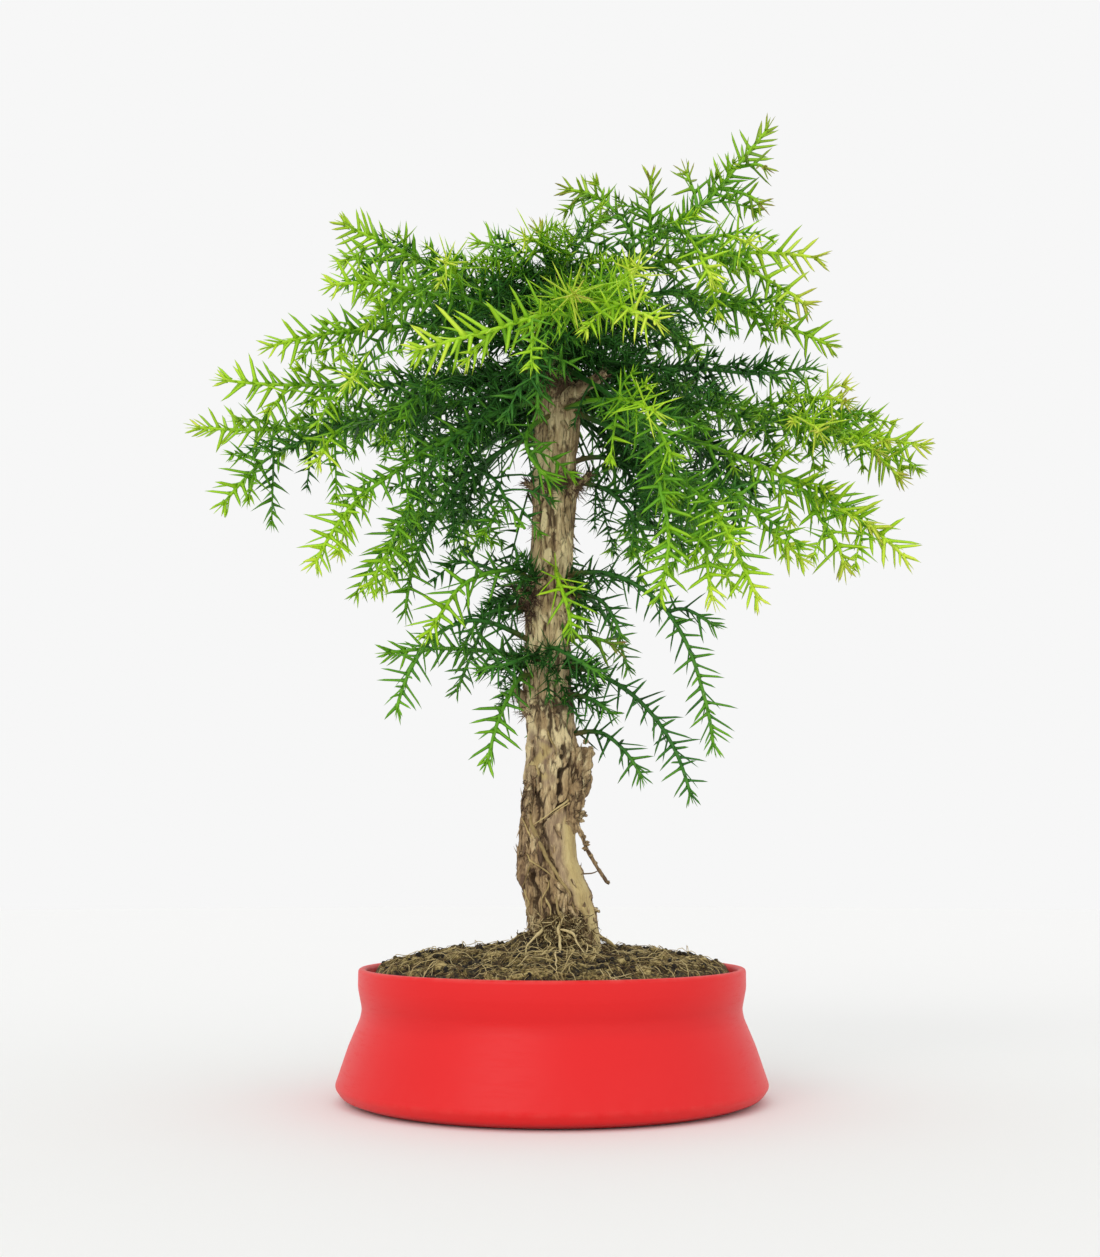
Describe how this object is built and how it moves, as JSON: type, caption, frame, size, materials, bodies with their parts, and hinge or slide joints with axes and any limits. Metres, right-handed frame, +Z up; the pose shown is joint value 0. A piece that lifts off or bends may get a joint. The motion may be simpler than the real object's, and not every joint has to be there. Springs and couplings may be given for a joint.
{
  "type": "araucaria bonsai",
  "caption": "Small potted araucaria trained as a bonsai: bare bark trunk, arching shoots of sharp awl-shaped needles, round flared pot.",
  "frame": {"origin": "centre of the pot's flat underside", "axes": "+Z up along the trunk, the tree's front faces -Y, +X to its viewer's right"},
  "size_m": [0.4675, 0.3688, 0.5964],
  "materials": {
    "pot": "satin moulded plastic, red",
    "soil": "rough dark compost with dry fibres",
    "bark": "rough flaking bark",
    "needles_dark": "satin dark green leaf",
    "needles_green": "satin mid green leaf",
    "needles_lime": "satin yellow-green leaf"
  },
  "bodies": {
    "root": {"pot": "pot", "soil": "soil", "trunk": "bark", "shoot_left_crest": "needles_green", "shoot_left_crest_low": "needles_green", "shoot_left_arm": "needles_green", "shoot_front_lime": "needles_lime", "shoot_left_span": "needles_green", "shoot_left_span_star": "needles_lime", "shoot_left_reach": "needles_green", "shoot_left_bow": "needles_green", "shoot_left_hang": "needles_dark", "shoot_mid_left_lime": "needles_lime", "shoot_mid_left_droop": "needles_dark", "shoot_low_left_long": "needles_dark", "shoot_low_left_flat": "needles_green", "shoot_low_left_hang": "needles_green", "shoot_low_front_left": "needles_dark", "shoot_low_front_right": "needles_dark", "shoot_front_lime_drop": "needles_lime", "shoot_low_olive_tuft": "needles_lime", "shoot_front_curtain": "needles_dark", "shoot_front_curtain_lime": "needles_lime", "shoot_top_spire": "needles_green", "shoot_crown_front": "needles_lime", "shoot_crown_right": "needles_green", "shoot_crown_tuft": "needles_lime", "shoot_crown_left": "needles_green", "shoot_front_star_right": "needles_lime", "shoot_right_crest": "needles_lime", "shoot_right_arm": "needles_green", "shoot_right_arm_dark": "needles_dark", "shoot_front_lime_right": "needles_lime", "shoot_front_orange": "needles_lime", "shoot_right_reach": "needles_green", "shoot_right_reach_star": "needles_lime", "shoot_right_bow": "needles_lime", "shoot_right_star": "needles_green", "shoot_right_curtain": "needles_green", "shoot_front_lime_low": "needles_lime", "shoot_right_drop": "needles_dark", "shoot_right_fill_a": "needles_dark", "shoot_right_fill_b": "needles_dark", "shoot_right_trail": "needles_dark", "shoot_right_short": "needles_dark", "shoot_low_right_long": "needles_dark", "shoot_low_right_small": "needles_dark", "shoot_low_right_droop": "needles_dark", "shoot_back_high": "needles_green", "shoot_back_high_left": "needles_green", "shoot_back_high_right": "needles_green", "shoot_back_left": "needles_green", "shoot_back_right": "needles_green", "shoot_back_middle": "needles_green", "shoot_back_low_left": "needles_green", "shoot_back_low_right": "needles_green", "shoot_back_drop": "needles_dark", "shoot_back_mid_left": "needles_dark", "shoot_back_mid_right": "needles_dark", "shoot_back_low": "needles_dark"}
  },
  "joints": []
}
